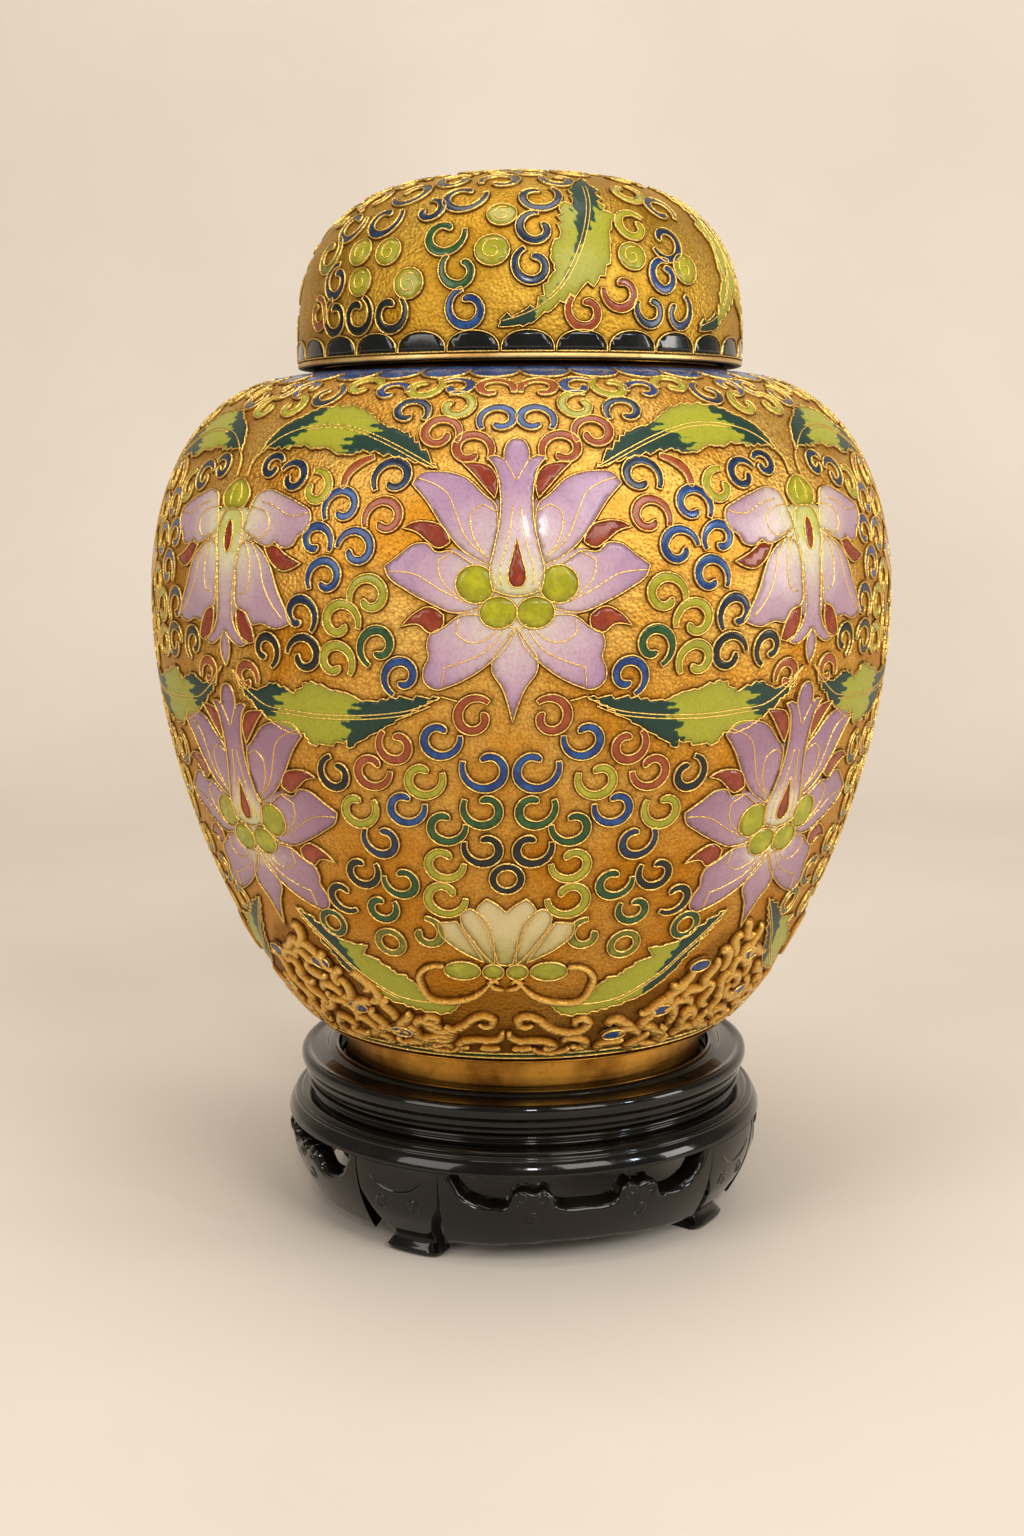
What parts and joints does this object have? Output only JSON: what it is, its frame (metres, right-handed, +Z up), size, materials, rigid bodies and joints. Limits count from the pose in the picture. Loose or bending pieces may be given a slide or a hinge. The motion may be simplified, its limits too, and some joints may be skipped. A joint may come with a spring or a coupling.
{
  "type": "cloisonne ginger jar",
  "caption": "Covered cloisonne ginger jar with gilt wires, lotus enamels and a lift-off domed lid, resting on a round carved black wooden stand.",
  "frame": {"origin": "on the jar's axis, in the plane of the table that the stand's feet rest on", "axes": "+Z up the jar's axis; -Y is the front, where an upper lotus and a half flower face the viewer; +X is the viewer's right"},
  "size_m": [0.2042, 0.2042, 0.2858],
  "materials": {
    "gilt_ground": "satin",
    "gilt_brass": "polished",
    "copper": "satin",
    "enamel_lilac": "gloss",
    "enamel_cream": "gloss",
    "enamel_lime": "gloss",
    "enamel_green": "gloss",
    "enamel_blue": "gloss",
    "enamel_red": "gloss",
    "enamel_black": "gloss",
    "counter_enamel": "gloss",
    "lacquered_wood": "gloss",
    "peg_wood": "matte"
  },
  "bodies": {
    "stand": {"stand_apron_ring": "lacquered_wood", "stand_foot_1": "lacquered_wood", "stand_foot_2": "lacquered_wood", "stand_foot_3": "lacquered_wood", "stand_foot_4": "lacquered_wood", "stand_foot_peg_1": "peg_wood", "stand_foot_peg_2": "peg_wood", "stand_foot_peg_3": "peg_wood", "stand_foot_peg_4": "peg_wood", "stand_fret_1": "lacquered_wood", "stand_fret_2": "lacquered_wood", "stand_fret_3": "lacquered_wood", "stand_fret_4": "lacquered_wood", "stand_seat_panel": "lacquered_wood", "stand_top_ring": "lacquered_wood", "stand_waist_ring": "lacquered_wood"},
    "jar": {"enamel_blossom_1": "enamel_lilac", "enamel_blossom_2": "enamel_lilac", "enamel_blossom_3": "enamel_lilac", "enamel_blossom_4": "enamel_lilac", "enamel_half_flower_1": "enamel_cream", "enamel_half_flower_2": "enamel_cream", "enamel_half_flower_3": "enamel_cream", "enamel_half_flower_4": "enamel_cream", "enamel_lotus_1": "enamel_lilac", "enamel_lotus_2": "enamel_lilac", "enamel_lotus_3": "enamel_lilac", "enamel_lotus_4": "enamel_lilac", "enamel_low_lotus_1": "enamel_lilac", "enamel_low_lotus_2": "enamel_lilac", "enamel_low_lotus_3": "enamel_lilac", "enamel_low_lotus_4": "enamel_lilac", "jar_base_plate": "copper", "jar_body": "gilt_ground", "jar_border_wire": "gilt_brass", "jar_foot_ring": "gilt_brass", "jar_neck_collar": "gilt_brass", "jar_neck_rim": "gilt_brass", "jar_seat_ring": "gilt_brass", "jar_shoulder_band": "enamel_blue"},
    "lid": {"lid_dome": "gilt_ground", "lid_lappet_band": "enamel_black", "lid_rim_band": "gilt_brass", "lid_sleeve": "gilt_brass"}
  },
  "joints": [
    {"name": "jar_lift", "type": "slide", "parent": "stand", "child": "jar", "axis": [0, 0, 1], "range_m": [0, 0.06]},
    {"name": "lid_lift", "type": "slide", "parent": "jar", "child": "lid", "axis": [0, 0, 1], "range_m": [0, 0.1]}
  ]
}
